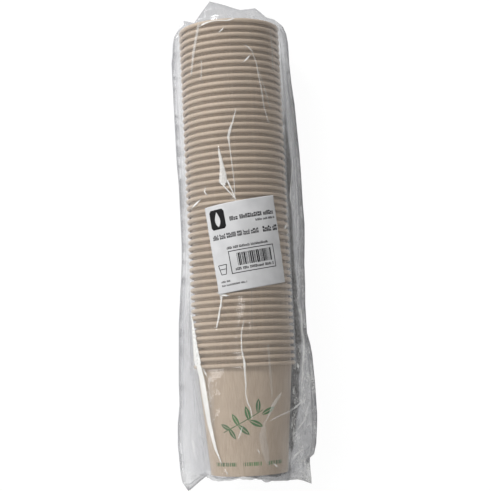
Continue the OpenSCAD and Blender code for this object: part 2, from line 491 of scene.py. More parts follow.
def board_finish():
    """Greige board of bamboo fibre, with its print of a green sprig and dashes."""
    paint = Finish("bamboo_board")
    upright = paint.attribute("upright").outputs["Vector"]
    millimetres = paint.scaled(upright, (1 / MM,) * 3)
    x, y, z = paint.parts(millimetres)
    angle = x.math("ARCTAN2", -y)
    radius = (x * x + y * y).math("SQRT")
    here = paint.add("ShaderNodeTexCoord").outputs["Object"]

    # Fibres run up the wall, and the tone drifts from cup to cup
    streaks = paint.noise(paint.scaled(millimetres, (1.0, 1.0, 0.07)), 1.1, 5.0, 0.65)
    fibres = paint.noise(paint.scaled(millimetres, (1.0, 1.0, 0.16)), 4.2, 3.0, 0.7, 0.6)
    flecks = paint.noise(paint.scaled(millimetres, (1.0, 1.0, 0.35)), 2.6, 2.0, 0.4)
    clouds = paint.noise(here, 38.0, 3.0, 0.55)
    batch = paint.noise(here, 9.0, 1.0)
    tone = streaks.between(0.30, 0.72) * 0.55 + clouds.between(0.3, 0.7) * 0.25 + batch * 0.2
    board = paint.shade(colour(164, 147, 129), colour(190, 174, 156), tone)
    board = paint.shade(board, colour(206, 192, 175), fibres.between(0.60, 0.76) * 0.45)
    board = paint.shade(board, colour(132, 114, 96), flecks.between(0.66, 0.76) * 0.5)

    # The blank's cut edge shows along the side seam
    from_seam = abs(angle - SEAM_A) * radius
    seam = from_seam.between(0.45, 0.12) * z.between(0.5, 1.5)
    board = paint.shade(board, colour(120, 103, 86), seam * 0.55)

    # Green print, a little worn, on the outside alone
    outer = (radius - z * TAPER).between(FOOT_R - 0.2, FOOT_R - 0.1)
    drawn = sprig(angle * SPRIG_R, z).at_least(dashes(paint, angle * FOOT_R, z))
    worn = paint.noise(millimetres, 1.5, 3.0, 0.7).between(0.28, 0.42)
    ink = drawn * outer * (0.72 + worn * 0.22)
    green = paint.shade(colour(38, 84, 48), colour(66, 122, 62), clouds.between(0.35, 0.65))

    paint.set(Base_Color=paint.shade(board, green, ink), Specular_IOR_Level=0.35,
              Roughness=0.62 + (fibres - 0.5) * 0.3 - ink * 0.12)
    paint.bump(fibres * 0.5 + streaks * 0.5 - seam * 0.8, 0.06 * MM, 0.8)
    return paint.material


# The clear film sleeve, in millimetres

# Its outline on the floor. Left and right: place along the sleeve and the edge's distance from the middle.
# Welded end and tail: corners (x, y)
LEFT_EDGE = [(-181.6, 45.6), (-178.5, 47.9), (-174.7, 49.8), (-169.3, 50.6), (-155.0, 51.4), (-147.5, 51.8),
             (-133.0, 51.2), (-125.8, 50.2), (-118.5, 49.2), (-104.0, 49.2), (-89.3, 48.6), (-60.0, 47.3),
             (-30.5, 44.5), (-15.7, 43.2), (-1.0, 42.6), (44.0, 42.8), (59.0, 43.6), (89.0, 43.9),
             (135.0, 44.2), (142.7, 43.2), (150.3, 42.6), (156.0, 41.2), (158.8, 39.2)]
RIGHT_EDGE = [(-180.7, 44.4), (-173.8, 44.7), (-166.0, 44.0), (-162.0, 44.2), (-159.6, 47.4),
              (-152.0, 49.4), (-138.0, 50.8), (-130.0, 51.2), (-108.0, 50.9), (-87.0, 49.9), (-79.0, 48.8),
              (-71.0, 46.9), (-50.0, 46.7), (-35.0, 47.4), (-20.0, 47.6), (-5.0, 48.6), (9.6, 49.3),
              (24.6, 48.8), (47.0, 48.6), (62.0, 48.3), (85.0, 47.2), (100.0, 46.5), (115.5, 45.0),
              (131.0, 44.1), (146.0, 44.0), (154.0, 42.9), (158.8, 40.9)]
END_EDGE = [(-45.6, -181.8), (-43.8, -180.8), (-37.0, -175.4), (-30.3, -170.6), (-26.1, -173.3),
            (-21.2, -175.2), (-17.5, -175.4), (-11.7, -174.4), (-5.5, -173.3), (1.3, -174.3), (9.9, -176.2),
            (17.0, -177.6), (22.8, -177.7), (34.4, -177.2), (38.7, -178.4), (44.4, -180.8)]
TAIL_EDGE = [(39.2, 161.0), (34.6, 165.0), (28.4, 167.2), (24.5, 171.2), (20.5, 174.7), (9.2, 173.6),
             (-2.0, 178.0), (-13.5, 181.6), (-20.0, 173.4), (-25.9, 165.4), (-33.7, 167.4), (-33.4, 164.4)]

# The fold on the right, in pixels of the photograph: between the stack and this line the film gets a painted
# shadow of the stack
RIGHT_FOLD = [(279, 62), (279.5, 80), (283, 100), (286.5, 120), (289.5, 140), (292.3, 160), (292.5, 180),
              (290, 194), (291.7, 206), (292.7, 220), (293.6, 240), (295, 260), (297.5, 280), (299.3, 300),
              (301, 320), (302.5, 340), (301.5, 360), (299, 380), (300, 400), (296.5, 420), (294.5, 440),
              (290.5, 460)]

FILM_T = 0.06
FLOOR_PLY = 0.12                   # height of the ply that lies on the floor
FILM_OVER_RIM = RIM_R + 0.34       # radius of the film over the rims
FLAT_WING = 2.6                    # width of the flat edge of each wing
WELD_W = 2.0
WELD_LIFT = 0.15
WELD_FIRST_Y = -176.6              # where the weld begins at the earliest
SLOPE_Y = FOOT_Y[CUPS[0]] - 0.6    # where the film begins to slope down to the weld
MOUTH_Y = LAST_RIM + 2.6           # the open edge on top
SIDE_MOUTH_Y = 158.8               # the open edge at the wings

# The net of the upper ply: columns across, and rows over the weld, down the slope and along the stack
COLUMNS = 150
WELD_ROWS = 4
SLOPE_ROWS = 24
ROW_STEP = PITCH / 4
FACET_NET = 97


def section_radius(y):
    """Radius of the film's arch about the cups' axis: over the rims, and down to the first cup's foot."""
    over_foot = FOOT_R + 0.5
    return float(np.interp(y, [FOOT_Y[CUPS[0]], FIRST_RIM - 2 * ROLL_R], [over_foot, FILM_OVER_RIM]))


def ramp(value, zero_at, one_at):
    """0 up to one value, 1 from another on, and straight between them. The first may be the higher one."""
    return np.clip((value - zero_at) / (one_at - zero_at), 0, 1)


def edge_at(edge, place):
    """The second number of an edge's corners, at a place between their first numbers."""
    places, reach = zip(*edge)
    return np.interp(place, places, reach)


def facets(x, y, size_x, size_y, seed):
    """Crumple of flat facets between straight creases, from -1 to 1: random heights on a sheared net of
    triangles, whose lines are bent a little so that no two creases run alike."""
    rng = np.random.RandomState(seed)
    bend = rng.uniform(-1, 1, (2, 3))
    across, along = x / size_x, y / size_y
    u = (across + 0.45 * np.sin(along * 0.9 + bend[0, 0] * 3)
         + 0.3 * np.sin(across * 0.53 + along * 0.37 + bend[0, 1]))
    v = (along + 0.4 * np.sin(across * 0.71 + bend[1, 0] * 3)
         + 0.25 * np.sin(across * 0.43 - along * 0.59 + bend[1, 1]))
    heights = rng.uniform(-1, 1, (FACET_NET, FACET_NET))
    i, j = np.floor(u).astype(int), np.floor(v).astype(int)
    share_u, share_v = u - i, v - j

    def at(a, b):
        return heights[a % FACET_NET, b % FACET_NET]

    below = share_u > share_v
    corner = np.where(below, at(i + 1, j), at(i, j + 1))
    low, high = at(i, j), at(i + 1, j + 1)
    first = np.where(below, share_u, share_v)
    second = np.where(below, share_v, share_u)
    return low + (corner - low) * first + (high - corner) * second


def waves(x, y, seed, count=5):
    """Smooth waviness from -1 to 1."""
    rng = np.random.RandomState(seed)
    total = np.zeros(np.broadcast(x, y).shape)
    for _ in range(count):
        a, b, phase = rng.uniform(-1, 1), rng.uniform(-1, 1), rng.uniform(0, 2 * math.pi)
        total = total + np.sin(a * x + b * y + phase)
    return total / count


def section_side(radius, reach):
    """One side of the film's section: its flat wing, and its wall that hangs a little and meets the arch
    without a bend, with the angle at which it does."""
    foot = np.array([reach - FLAT_WING, FLOOR_PLY + 0.3])
    away = np.hypot(foot[0], AXIS_Z - foot[1])
    touch = math.atan2(foot[0], foot[1] - AXIS_Z) - math.acos(min(1.0, radius / away))
    tangent = np.array([radius * math.sin(touch), AXIS_Z + radius * math.cos(touch)])
    run = tangent - foot
    length = np.linalg.norm(run)
    inward = np.array([-run[1], run[0]]) / max(length, 1e-6)
    t = np.linspace(0, 1, 24)[:, None]
    hang = 0.045 * length * np.sin(math.pi * t) ** 1.5
    wall = foot + run * t + inward * hang
    edge = np.array([[reach, FLOOR_PLY]])
    wing = edge + (foot - edge) * np.linspace(0, 1, 5)[:-1, None]
    return np.vstack([wing, wall]), touch


def taut_section(y, left, right):
    """The film's upper side across the sleeve, from wing to wing, as points evenly spread by length."""
    radius = section_radius(y)
    left_side, left_touch = section_side(radius, left)
    right_side, right_touch = section_side(radius, right)
    left_side[:, 0] *= -1
    turn = np.linspace(-left_touch, right_touch, 60)[1:-1]
    over = np.column_stack([radius * np.sin(turn), AXIS_Z + radius * np.cos(turn)])
    line = np.vstack([left_side, over, right_side[::-1]])
    steps = np.concatenate([[0], np.cumsum(np.linalg.norm(np.diff(line, axis=0), axis=1))])
    want = np.linspace(0, steps[-1], COLUMNS + 1)
    return np.column_stack([np.interp(want, steps, line[:, 0]), np.interp(want, steps, line[:, 1])])


def film_rows():
    """The film's upper ply before it is creased: rows of points from the welded end to the mouth."""
    share = np.linspace(0, 1, COLUMNS + 1)
    top = taut_section(SLOPE_Y, edge_at(LEFT_EDGE, SLOPE_Y), edge_at(RIGHT_EDGE, SLOPE_Y))
    top = np.column_stack([top[:, 0], np.full(len(top), SLOPE_Y), top[:, 1]])
    end_x = END_EDGE[0][0] + (END_EDGE[-1][0] - END_EDGE[0][0]) * share
    end = np.column_stack([end_x, edge_at(END_EDGE, end_x), np.full(len(share), FLOOR_PLY)])

    weld = end + np.array([0, WELD_W, WELD_LIFT])
    weld[:, 1] = np.maximum(weld[:, 1], WELD_FIRST_Y)
    weld_left, weld_right = edge_at(LEFT_EDGE, weld[0, 1]), edge_at(RIGHT_EDGE, weld[-1, 1])
    weld[:, 0] = -weld_left + (weld_left + weld_right) * share
    weld[[0, -1], 2] = FLOOR_PLY
    rows = [end + (weld - end) * t for t in np.linspace(0, 1, WELD_ROWS)]
    for t in np.linspace(0, 1, SLOPE_ROWS + 1)[1:]:
        row = weld + (top - weld) * t
        row[:, 1] = weld[:, 1] + (top[:, 1] - weld[:, 1]) * t**2
        rows.append(row)

    # Along the stack, the rows bend back to the mouth's edge, which lies further back at the wings
    side = np.abs(2 * share - 1) ** 6
    late_from = LAST_RIM - 24
    y = SLOPE_Y
    while y < MOUTH_Y - ROW_STEP / 2:
        y += ROW_STEP
        late = max(0.0, (y - late_from) / (MOUTH_Y - late_from)) ** 2
        places = y + late * (side * (SIDE_MOUTH_Y - MOUTH_Y) + 0.5 * np.sin(share * 31) * (1 - side))
        section = taut_section(y, edge_at(LEFT_EDGE, places[0]), edge_at(RIGHT_EDGE, places[-1]))
        rows.append(np.column_stack([section[:, 0], places, section[:, 1]]))
    return np.array(rows)


# Creases and facets, each with a painted highlight: how far each lifts the film in millimetres, how strongly
#  its painted highlight shows, how broken up it is, and its line in pixels of the photograph with half
#  widths in millimetres
CREASES = [
    # Down the left of the first cup and of the rims above it
    (1.0, 0.95, 0.35, [(191.6, 316, 0.3), (193, 324, 0.8), (194, 334, 1.3), (195.8, 350, 2.0),
                       (197.6, 363, 2.8)]),
    (1.0, 0.84, 0.05, [(199.0, 367, 2.0), (202.2, 380, 2.0), (204.4, 393.5, 2.1), (206.6, 407, 2.0),
                       (208.9, 421, 1.7), (212.1, 435, 1.4), (215.7, 449, 1.0), (221.2, 462.5, 0.2)]),
    (0.5, 0.6, 0.5, [(203.5, 369, 0.3), (205.6, 374, 0.6)]),
    # Down the middle
    (0.6, 0.75, 0.2, [(244.1, 320, 0.15), (241.8, 330, 0.3), (241.3, 337, 0.35), (241.8, 350, 0.4),
                      (243.6, 358, 0.55), (244.6, 364, 0.95), (244.7, 371, 0.65), (245.9, 384, 0.55),
                      (245.6, 393.5, 0.35), (247.6, 402.7, 0.45), (250.5, 408.4, 0.4),
                      (252.2, 417.6, 0.2)]),
    # Under the label
    (0.6, 0.8, 0.3, [(216.6, 327, 0.4), (218.5, 319, 0.7), (219.6, 311, 0.6), (222, 297, 0.4)]),
    # The facet above the label, its two tails and a thin line beside it
    (0.9, 0.62, 0.25, [(218.5, 147.8, 0.3), (219.1, 151.5, 0.8), (221.8, 165.5, 1.6), (222.9, 174, 2.6),
                       (223.0, 180.6, 3.2), (223.4, 183.4, 1.6)]),
    (0.5, 0.9, 0.1, [(221.5, 183.8, 0.5), (228.3, 191, 0.4), (235.5, 198.9, 0.3)]),
    (0.5, 0.9, 0.1, [(227.8, 181.7, 0.6), (232.0, 190.5, 0.4), (235.5, 198.9, 0.3)]),
    (0.4, 0.5, 0.2, [(235.7, 110, 0.3), (232.7, 121.6, 0.6), (230.2, 128.5, 1.0), (228.3, 136.5, 1.0),
                     (229.6, 146, 0.4), (231.7, 162.3, 0.3), (233.9, 178.4, 0.3), (235.0, 198.9, 0.3)]),
    # Nicks on the left, above the label
    (0.5, 0.9, 0.1, [(192.7, 207.5, 0.4), (195.6, 204.4, 0.8), (199.6, 200.4, 0.3)]),
    (0.5, 0.8, 0.2, [(205.4, 188.6, 0.3), (204.3, 191.5, 0.5), (206.3, 194.6, 0.3)]),
    # Nicks by the mouth, and a painted highlight along the lip of the mouth
    (0.5, 0.9, 0.1, [(244.1, 61.4, 0.3), (247.4, 58.4, 0.7), (249.2, 56.2, 0.3)]),
    (0.3, 0.6, 0.4, [(246.2, 45.5, 0.3), (250.6, 49.4, 0.5)]),
    (0.4, 0.8, 0.1, [(219.2, 32.2, 0.3), (222.6, 29.0, 0.5)]),
    (0.3, 0.9, 0.3, [(201.8, 25.2, 0.6), (204.5, 23.6, 0.7), (211.5, 21.3, 0.3), (218.9, 20.3, 0.3),
                     (226.3, 20.6, 0.4), (230.2, 19.8, 0.6), (233.7, 18.6, 0.4)]),
    # Faint lines down the upper half of the stack
    (0.4, 0.36, 0.2, [(252, 51.4, 0.3), (256.4, 63.3, 0.4), (258.4, 75.1, 0.5), (261.4, 89, 0.5),
                      (263.9, 106.8, 0.4), (268.3, 121.6, 0.4)]),
    (0.3, 0.28, 0.2, [(259.4, 73, 0.2), (264.8, 89, 0.4), (269.8, 107, 0.3)]),
    (0.3, 0.26, 0.2, [(198.6, 24.7, 1.0), (194.8, 45, 1.1), (193.2, 55, 1.0), (191.4, 74, 0.5)]),
    (0.3, 0.24, 0.3, [(270.3, 29.7, 0.4), (272.3, 49.4, 0.6), (272.6, 70, 0.4)]),
    (0.3, 0.3, 0.2, [(201.6, 61, 0.3), (201.1, 79, 0.4)]),
    # On the right, beside the label
    (0.6, 0.4, 0.6, [(293.6, 154.8, 0.2), (293.1, 165.5, 0.25), (291.5, 181.7, 0.3), (290.4, 194.6, 0.3),
                     (291.2, 199, 0.25), (294.2, 205.4, 0.2)]),
    (0.4, 0.8, 0.2, [(284.8, 228.5, 0.4), (285.8, 226.3, 0.9)]),
    # At the label's lower left corner
    (0.4, 0.85, 0.2, [(218.8, 293.4, 0.5), (222, 294.8, 1.1), (227, 295.6, 0.5)]),
    (0.4, 0.6, 0.3, [(220.8, 297, 0.5), (221.4, 306, 0.4)]),
    # Down the right wing, beside the lower rims
    (0.7, 0.8, 0.6, [(302.4, 306, 0.4), (303.8, 320, 0.8), (303.3, 327, 0.7), (304.4, 334, 0.9),
                     (305.5, 341, 0.7), (305, 353, 0.8), (303.3, 368, 0.6), (303.8, 375, 0.8),
                     (302.7, 384, 0.5)]),
    (0.5, 0.75, 0.3, [(297.6, 363.5, 0.4), (298.4, 366.6, 1.1)]),
    # Across the first cup's right side and the wing beside it
    (0.6, 0.35, 0.25, [(304.5, 401.5, 0.5), (297, 406, 0.7), (290, 410.7, 0.7), (280, 415.4, 0.5),
                       (271, 420.2, 0.4)]),
    (0.6, 0.24, 0.3, [(281, 393.5, 0.6), (276.6, 400, 1.4), (273.4, 405, 1.5), (270.5, 412, 0.9),
                      (266, 421, 0.5)]),
    (0.5, 0.13, 0.1, [(264.8, 423, 1.2), (262.5, 436, 3.0), (265, 450, 3.2), (268, 463, 1.5)]),
    (0.6, 0.65, 0.3, [(293.5, 459, 0.4), (296, 455.8, 0.8), (302.7, 452, 0.5)]),
    (0.5, 0.36, 0.4, [(298, 430, 0.5), (306, 421, 0.7), (311, 404, 0.5)]),
    # Small nicks round the first cup's foot
    (0.4, 0.34, 0.2, [(238.6, 438, 0.4), (240.4, 433, 0.8), (242, 428, 0.4)]),
    (0.3, 0.7, 0.1, [(275, 464.4, 0.4), (276.2, 465.8, 0.6)]),
    (0.3, 0.6, 0.1, [(258.2, 450.4, 0.3), (258.9, 451.6, 0.5)]),
    (0.3, 0.55, 0.1, [(225.8, 471.4, 0.3), (227, 472.8, 0.5)]),
    (0.4, 0.4, 0.3, [(191.4, 443, 0.5), (192.4, 448, 0.8), (193, 455, 0.4)]),
    # Broad, faint pleats
    (0.4, 0.09, 0.0, [(209.6, 377, 1.8), (211.4, 400, 2.3), (213.2, 425, 1.4)]),
    (0.4, 0.1, 0.0, [(251, 232, 0.5), (252, 330, 0.5)]),
    (0.4, 0.12, 0.0, [(268, 345, 0.8), (271, 380, 1.0), (272, 396, 0.6)]),
]
CREASE_CLEAR = 5.0      # least room between two creases of one set, in millimetres


def crease_lines():
    """Every crease on the film's upper side: its lift, strength, breaks and line of (x, y, half width)."""
    return [(lift, strength, broken, np.array([(*film_point(px, py), half) for px, py, half in line]))
            for lift, strength, broken, line in CREASES]


def crease_sets(creases):
    """The creases sorted into sets, in each of which no two come so close that their marks would mix."""
    sets = []
    for crease in creases:
        line = crease[3]
        dots = np.concatenate([a + (b - a) * np.linspace(0, 1, 9)[:, None] for a, b in zip(line, line[1:])])
        for members in sets:
            taken = np.concatenate([other_dots for _, other_dots in members])
            away = np.hypot(taken[:, None, 0] - dots[None, :, 0], taken[:, None, 1] - dots[None, :, 1])
            if (away - taken[:, None, 2] - dots[None, :, 2]).min() > CREASE_CLEAR:
                members.append((crease, dots))
                break
        else:
            sets.append([(crease, dots)])
    return [[crease for crease, _ in members] for members in sets]


def crease_fields(creases, x, y):
    """For each point of the film: its signed distance from the nearest of some creases, in shares of that
    crease's half width, how strongly its painted highlight shows there, how broken up it is, and how far it
    lifts the film."""
    none = 9.0
    side = np.full(x.shape, none)
    near, gaps, lift = np.zeros(x.shape), np.zeros(x.shape), np.zeros(x.shape)
    nearest = np.full(x.shape, 1e9)
    for rise, strength, broken, line in creases:
        for a, b in zip(line, line[1:]):
            along = (b - a)[:2]
            length = np.linalg.norm(along)
            held = np.clip(((x - a[0]) * along[0] + (y - a[1]) * along[1]) / length**2, 0, 1)
            dx, dy = x - a[0] - held * along[0], y - a[1] - held * along[1]
            away = np.hypot(dx, dy)
            half = a[2] + (b[2] - a[2]) * held
            closer = away - half < nearest
            nearest = np.where(closer, away - half, nearest)
            sign = np.where(along[0] * dy - along[1] * dx < 0, -1.0, 1.0)
            side = np.where(closer, sign * away / half, side)
            near = np.where(closer, strength * ramp(away - half, 2.0, 0.0), near)
            gaps = np.where(closer, broken, gaps)
            lift = np.maximum(lift, rise * ramp(away, half + 1.2, 0.0))
    return np.clip(side, -none, none), near, gaps, lift


def label_cover(x, y, z):
    """How far a point of the film lies under the label, from 0 outside it to 1 inside."""
    around = (np.arctan2(x, z - AXIS_Z) - LABEL_ROUND) * FILM_OVER_RIM
    c, s = math.cos(LABEL_TURN), math.sin(LABEL_TURN)
    along = (y - LABEL_Y) * c - around * s
    across = around * c + (y - LABEL_Y) * s
    inside = np.minimum(LABEL_W / 2 - np.abs(across), LABEL_L / 2 - np.abs(along))
    return ramp(inside, -3, 0)


def outward_of(rows):
    """The film's outward direction at each point of its rows."""
    outward = np.cross(np.gradient(rows, axis=1), np.gradient(rows, axis=0))
    return outward / np.maximum(np.linalg.norm(outward, axis=2, keepdims=True), 1e-9)


def folds_rise(rows, creases):
    """How far loose folds, crumple and the single creases lift the upper ply at each point of its rows."""
    x, y, z = rows[..., 0], rows[..., 1], rows[..., 2]
    share = np.broadcast_to(np.linspace(-1, 1, COLUMNS + 1), x.shape)
    round_s = share * 90
    row = np.arange(len(rows))[:, None] * np.ones(x.shape)
    long_folds = facets(round_s, y, 7.5, 52, 3) * 0.6 + facets(round_s, y, 4.2, 30, 5) * 0.4
    crumple = facets(round_s, y, 9.0, 13.0, 7) * 0.6 + facets(round_s, y, 4.6, 6.0, 11) * 0.4
    pleats = facets(round_s, row * 2.0, 5.0, 38, 13)

    # Loose over the first cup, looser down the right side, and pleated on the slope to the weld
    on_cup = np.interp(y, [-168, -160, -100, -88], [1.0, 1.0, 0.8, 0.0])
    low_side = ramp(z, 58, 18) * ramp(z, 0, 6)
    calm = np.interp(x, [-10, 10], [0.25, 1.0])
    slope_middle = WELD_ROWS + SLOPE_ROWS * 0.45
    on_slope = ramp(np.abs(row - slope_middle), SLOPE_ROWS * 0.6, 0)
    rise = (0.16 + 0.12 * long_folds) * (1 - on_cup)
    rise += on_cup * (0.55 + 0.5 * long_folds + 0.35 * crumple)
    rise += low_side * calm * (0.9 + 0.9 * long_folds + 0.7 * crumple)
    rise += ramp(z, 7, 1) * calm * (0.25 + 0.2 * crumple)
    rise += on_slope * (0.6 + 0.6 * pleats + 0.3 * crumple)
    rise += ramp(y, LAST_RIM - 3, LAST_RIM + 3) * 0.4 * waves(round_s * 0.14, y * 0, 17)
    lift = crease_fields(creases, x, y)[3]
    rise += np.where((z > AXIS_Z) | (y < FIRST_RIM), lift, lift * 0.3)

    # Flat under the label, at both edges and over the weld
    edge = np.sin(math.pi * (share + 1) / 2).clip(0, 1) ** 0.25
    rise *= (1 - label_cover(x, y, z)) * edge
    rise[:WELD_ROWS] *= 0.05
    rise[0] = 0
    return rise * (1 - 0.8 * ramp(np.abs(row - WELD_ROWS), 3, 0))


def held_off(places, y):
    """The upper ply's points, pushed out where they would touch the cups or the ply on the floor."""
    foot = FOOT_Y[CUPS[0]]
    held = np.interp(y, [foot - 0.2, foot, FIRST_RIM - 4, FIRST_RIM - 3.2, LAST_RIM, LAST_RIM + 0.1],
                     [0, FOOT_R + 0.35, wall_r(CUP_H - 4) + 0.35, RIM_R + 0.25, RIM_R + 0.25, 0])
    radius = np.hypot(places[..., 0], places[..., 2] - AXIS_Z)
    push = np.where(radius < held, held / np.maximum(radius, 1e-6), 1.0)
    places[..., 0] *= push
    places[..., 2] = AXIS_Z + (places[..., 2] - AXIS_Z) * push
    inner = np.ones(radius.shape, bool)
    inner[0] = inner[:, 0] = inner[:, -1] = False
    places[..., 2] = np.where(inner, np.maximum(places[..., 2], FLOOR_PLY + 0.1), FLOOR_PLY)
    return places


def creased_film(creases):
    """The upper ply's points, once folded and creased."""
    rows = film_rows()
    x, y, z = rows[..., 0], rows[..., 1], rows[..., 2]
    places = rows + outward_of(rows) * folds_rise(rows, creases)[..., None]

    # On the slope no fold hangs past the weld
    past_end = edge_at(END_EDGE, places[..., 0]) + 0.1
    slope_rows = slice(1, WELD_ROWS + SLOPE_ROWS)
    places[slope_rows, :, 1] = np.maximum(places[slope_rows, :, 1], past_end[slope_rows])

    # Past the last rim the film's cut edge turns in a little
    inward = np.stack([-x, 0 * y, AXIS_Z - z], axis=2)
    inward /= np.maximum(np.linalg.norm(inward, axis=2, keepdims=True), 1e-9)
    turn_in = ramp(y, LAST_RIM + 0.6, LAST_RIM + 3.6) * (z > 20) * 0.4
    return held_off(places + inward * turn_in[..., None], y)


def within(places, outline):
    """Which of some places lie inside an outline: a line from there crosses it an odd number of times."""
    x, y = np.asarray(places)[:, :1], np.asarray(places)[:, 1:2]
    ax, ay = np.asarray(outline).T
    bx, by = np.roll(ax, -1), np.roll(ay, -1)
    crossed = ((ay > y) != (by > y)) & (x < ax + (bx - ax) * (y - ay) / np.where(by == ay, 1, by - ay))
    return crossed.sum(1) % 2 == 1


def floor_ply(outline):
    """Triangles that fill the film's outline on the floor, finer than its folds: the points, each one's
    number in the outline or -1, and the faces."""
    rng = np.random.RandomState(23)
    step, shake, clear = 4.2, 1.3, 2.4
    net = [(x + rng.uniform(-shake, shake), y + rng.uniform(-shake, shake))
           for y in np.arange(-178, 180, step) for x in np.arange(-50, 50, step)]
    net = [p for p, inside in zip(net, within(net, outline)) if inside]
    edge = np.array(outline)
    net = [p for p in net if np.min(np.hypot(edge[:, 0] - p[0], edge[:, 1] - p[1])) > clear]
    count = len(outline)
    edges = [(i, (i + 1) % count) for i in range(count)]
    corners = [Vector(p) for p in outline + net]
    points, _, faces, sources, _, _ = geometry.delaunay_2d_cdt(corners, edges, [], 0, 1e-5, True)
    origin = [s[0] if s and s[0] < count else -1 for s in sources]

    # A face is kept if its middle lies inside, or if one of its sides is the outline's, on the inner hand
    middles = [sum((points[k] for k in face), Vector((0, 0))) / len(face) for face in faces]
    kept = []
    for face, inside in zip(faces, within(middles, outline)):
        for a, b in zip(face, (*face[1:], face[0])):
            if origin[a] >= 0 and origin[b] == (origin[a] + 1) % count:
                inside = True
            if origin[b] >= 0 and origin[a] == (origin[b] + 1) % count:
                inside = False
        if inside:
            kept.append(face)
    return points, origin, kept


def rims_path(x):
    """How high the film may lie on the floor, so that the rims slide over it."""
    room = 0.22
    return AXIS_Z - room - math.sqrt(max(RIM_R**2 - x**2, 0))


def tail_rise(x):
    """How high the tail stands at its end, in long waves."""
    return 1.0 + 1.1 * math.sin(x * 0.17 + 1.0)


def film_mesh(creases):
    """The whole sleeve as one bag of film: creased upper ply, floor ply with its tail, one open mouth."""
    upper = creased_film(creases)
    rows, columns = upper.shape[:2]
    points = [Vector(p) for p in upper.reshape(-1, 3)]
    index = np.arange(rows * columns).reshape(rows, columns)
    faces = [(index[j, i], index[j, i + 1], index[j + 1, i + 1], index[j + 1, i])
             for j in range(rows - 1) for i in range(columns - 1)]

    # The floor ply's outline runs round the weld, up the right wing, along the tail and down the left wing
    corners = [tuple(upper[-1, -1][:2])] + TAIL_EDGE + [tuple(upper[-1, 0][:2])]
    tail = [Vector((x, y, FLOOR_PLY)) for x, y in spread_out(corners, 1.4)[1:-1]]
    ring = [int(i) for i in (*index[0], *index[1:, -1])]
    ring += list(range(len(points), len(points) + len(tail)))
    ring += [int(i) for i in index[1:, 0][::-1]]
    points += tail

    tail_from, tail_run = LAST_RIM + 6, 26
    flat, origin, triangles = floor_ply([(points[i].x, points[i].y) for i in ring])
    numbers = {}
    for k, p in enumerate(flat):
        if origin[k] >= 0:
            numbers[k] = ring[origin[k]]
        else:
            numbers[k] = len(points)
            height = FLOOR_PLY + 0.05 * math.sin(p.x * 0.9) * math.sin(p.y * 0.7)
            past = max(0.0, p.y - tail_from) / tail_run
            height += past * (tail_rise(p.x) + 0.1 * math.sin(p.y * 0.5 + p.x * 0.2))
            points.append(Vector((p.x, p.y, max(min(height, rims_path(p.x)), FLOOR_PLY - 0.05))))
    faces += [tuple(numbers[k] for k in reversed(face)) for face in triangles]
    for p in tail:
        if p.y > SIDE_MOUTH_Y + 1:
            p.z = min(p.z + (p.y - tail_from) / tail_run * tail_rise(p.x), rims_path(p.x))
    return points, faces, rows * columns


def spread_out(line, step):
    """Points along a line of corners, a step apart, with every corner kept."""
    spread = [line[0]]
    for a, b in zip(line, line[1:]):
        parts = max(1, round(math.dist(a, b) / step))
        spread += [(a[0] + (b[0] - a[0]) * t / parts, a[1] + (b[1] - a[1]) * t / parts)
                   for t in range(1, parts + 1)]
    return spread


def fold_at(y):
    """How far from the middle the fold on the right runs."""
    return edge_at(sorted(film_point(px, py)[::-1] for px, py in RIGHT_FOLD), y)


def film_fields(x, y, z, upper):
    """What the film's finish reads at each point of the upper ply or of the floor ply: its haze, its painted
    shadow, strongest close beside the stack's board and lighter over the tail, and how crumpled it is."""
    rims_from = FIRST_RIM - 2 * ROLL_R
    stack_r = np.interp(y, [FOOT_Y[CUPS[0]], rims_from - 0.1, rims_from], [FOOT_R, wall_r(ROLL_Z), RIM_R])
    from_stack = np.abs(x) - stack_r

    # Parts of the film, each from 0 to 1
    right = ramp(x, -4, 4)
    beside = ramp(from_stack, -1.5, 1.5)
    side = np.where(x > 0, ramp(from_stack, -1.5, 2.5), ramp(from_stack, 1, 7))
    side = np.where(y < SLOPE_Y, 0.4, side)
    wing = side * ramp(z, 3.2, 0.8)
    tail = ramp(y, LAST_RIM + 2, LAST_RIM + 8)
    under = np.maximum(ramp(from_stack, -6, -2), ramp(y, SLOPE_Y + 6, SLOPE_Y))
    # Painted shade on the floor ply: a soft grey by the stack's edge, mostly on the left, and a grey patch
    # on the left beside the first cup
    edge_painted_shade = ramp(np.abs(from_stack + 1), 4, 0)
    left_painted_shade = (1 - right) * under * ramp(from_stack, 19, 3) * ramp(y, -30, -60)
    # Painted shadow of the stack on the right: strongest between the stack and the fold, fading out towards
    # the mouth
    in_shadow_band = ramp(fold_at(y) - x, -0.7, 0.7)
    shadowed_side = right * (1 - 0.8 * ramp(y, 105, 140))

    # Haze, and how far its grey turns to painted shadow, on the upper ply and on the floor ply; the floor
    # ply also gets a flat painted shade over the tail
    haze = 0.012 + side * (0.072 + 0.06 * shadowed_side) + wing * 0.12
    floor_haze = (0.13 + under * (0.07 + shadowed_side * (0.22 + 0.46 * in_shadow_band))
                  + edge_painted_shade * (1 - shadowed_side) * 0.2 + 0.32 * left_painted_shade)
    floor_haze = floor_haze * (1 - tail) + 0.45 * tail
    painted_shadow = shadowed_side * np.maximum(side, beside) * (0.12 + 0.78 * in_shadow_band)
    floor_painted_shadow = shadowed_side * under * (0.3 + 0.7 * in_shadow_band) + 0.28 * left_painted_shade
    floor_painted_shadow = floor_painted_shadow * (1 - tail) + 0.25 * tail
    crumpled = right * beside * np.interp(y, [-170, -100, -40, 60, 120], [1.0, 1.0, 0.75, 0.4, 0.2])
    floor_crumpled = np.maximum(crumpled * under * 0.6, 0.06) * (1 - tail)
    return {"haze": np.where(upper, haze, floor_haze),
            "painted_shadow": np.where(upper, painted_shadow, floor_painted_shadow),
            "crumpled": np.where(upper, np.maximum(crumpled, 0.06), floor_crumpled)}


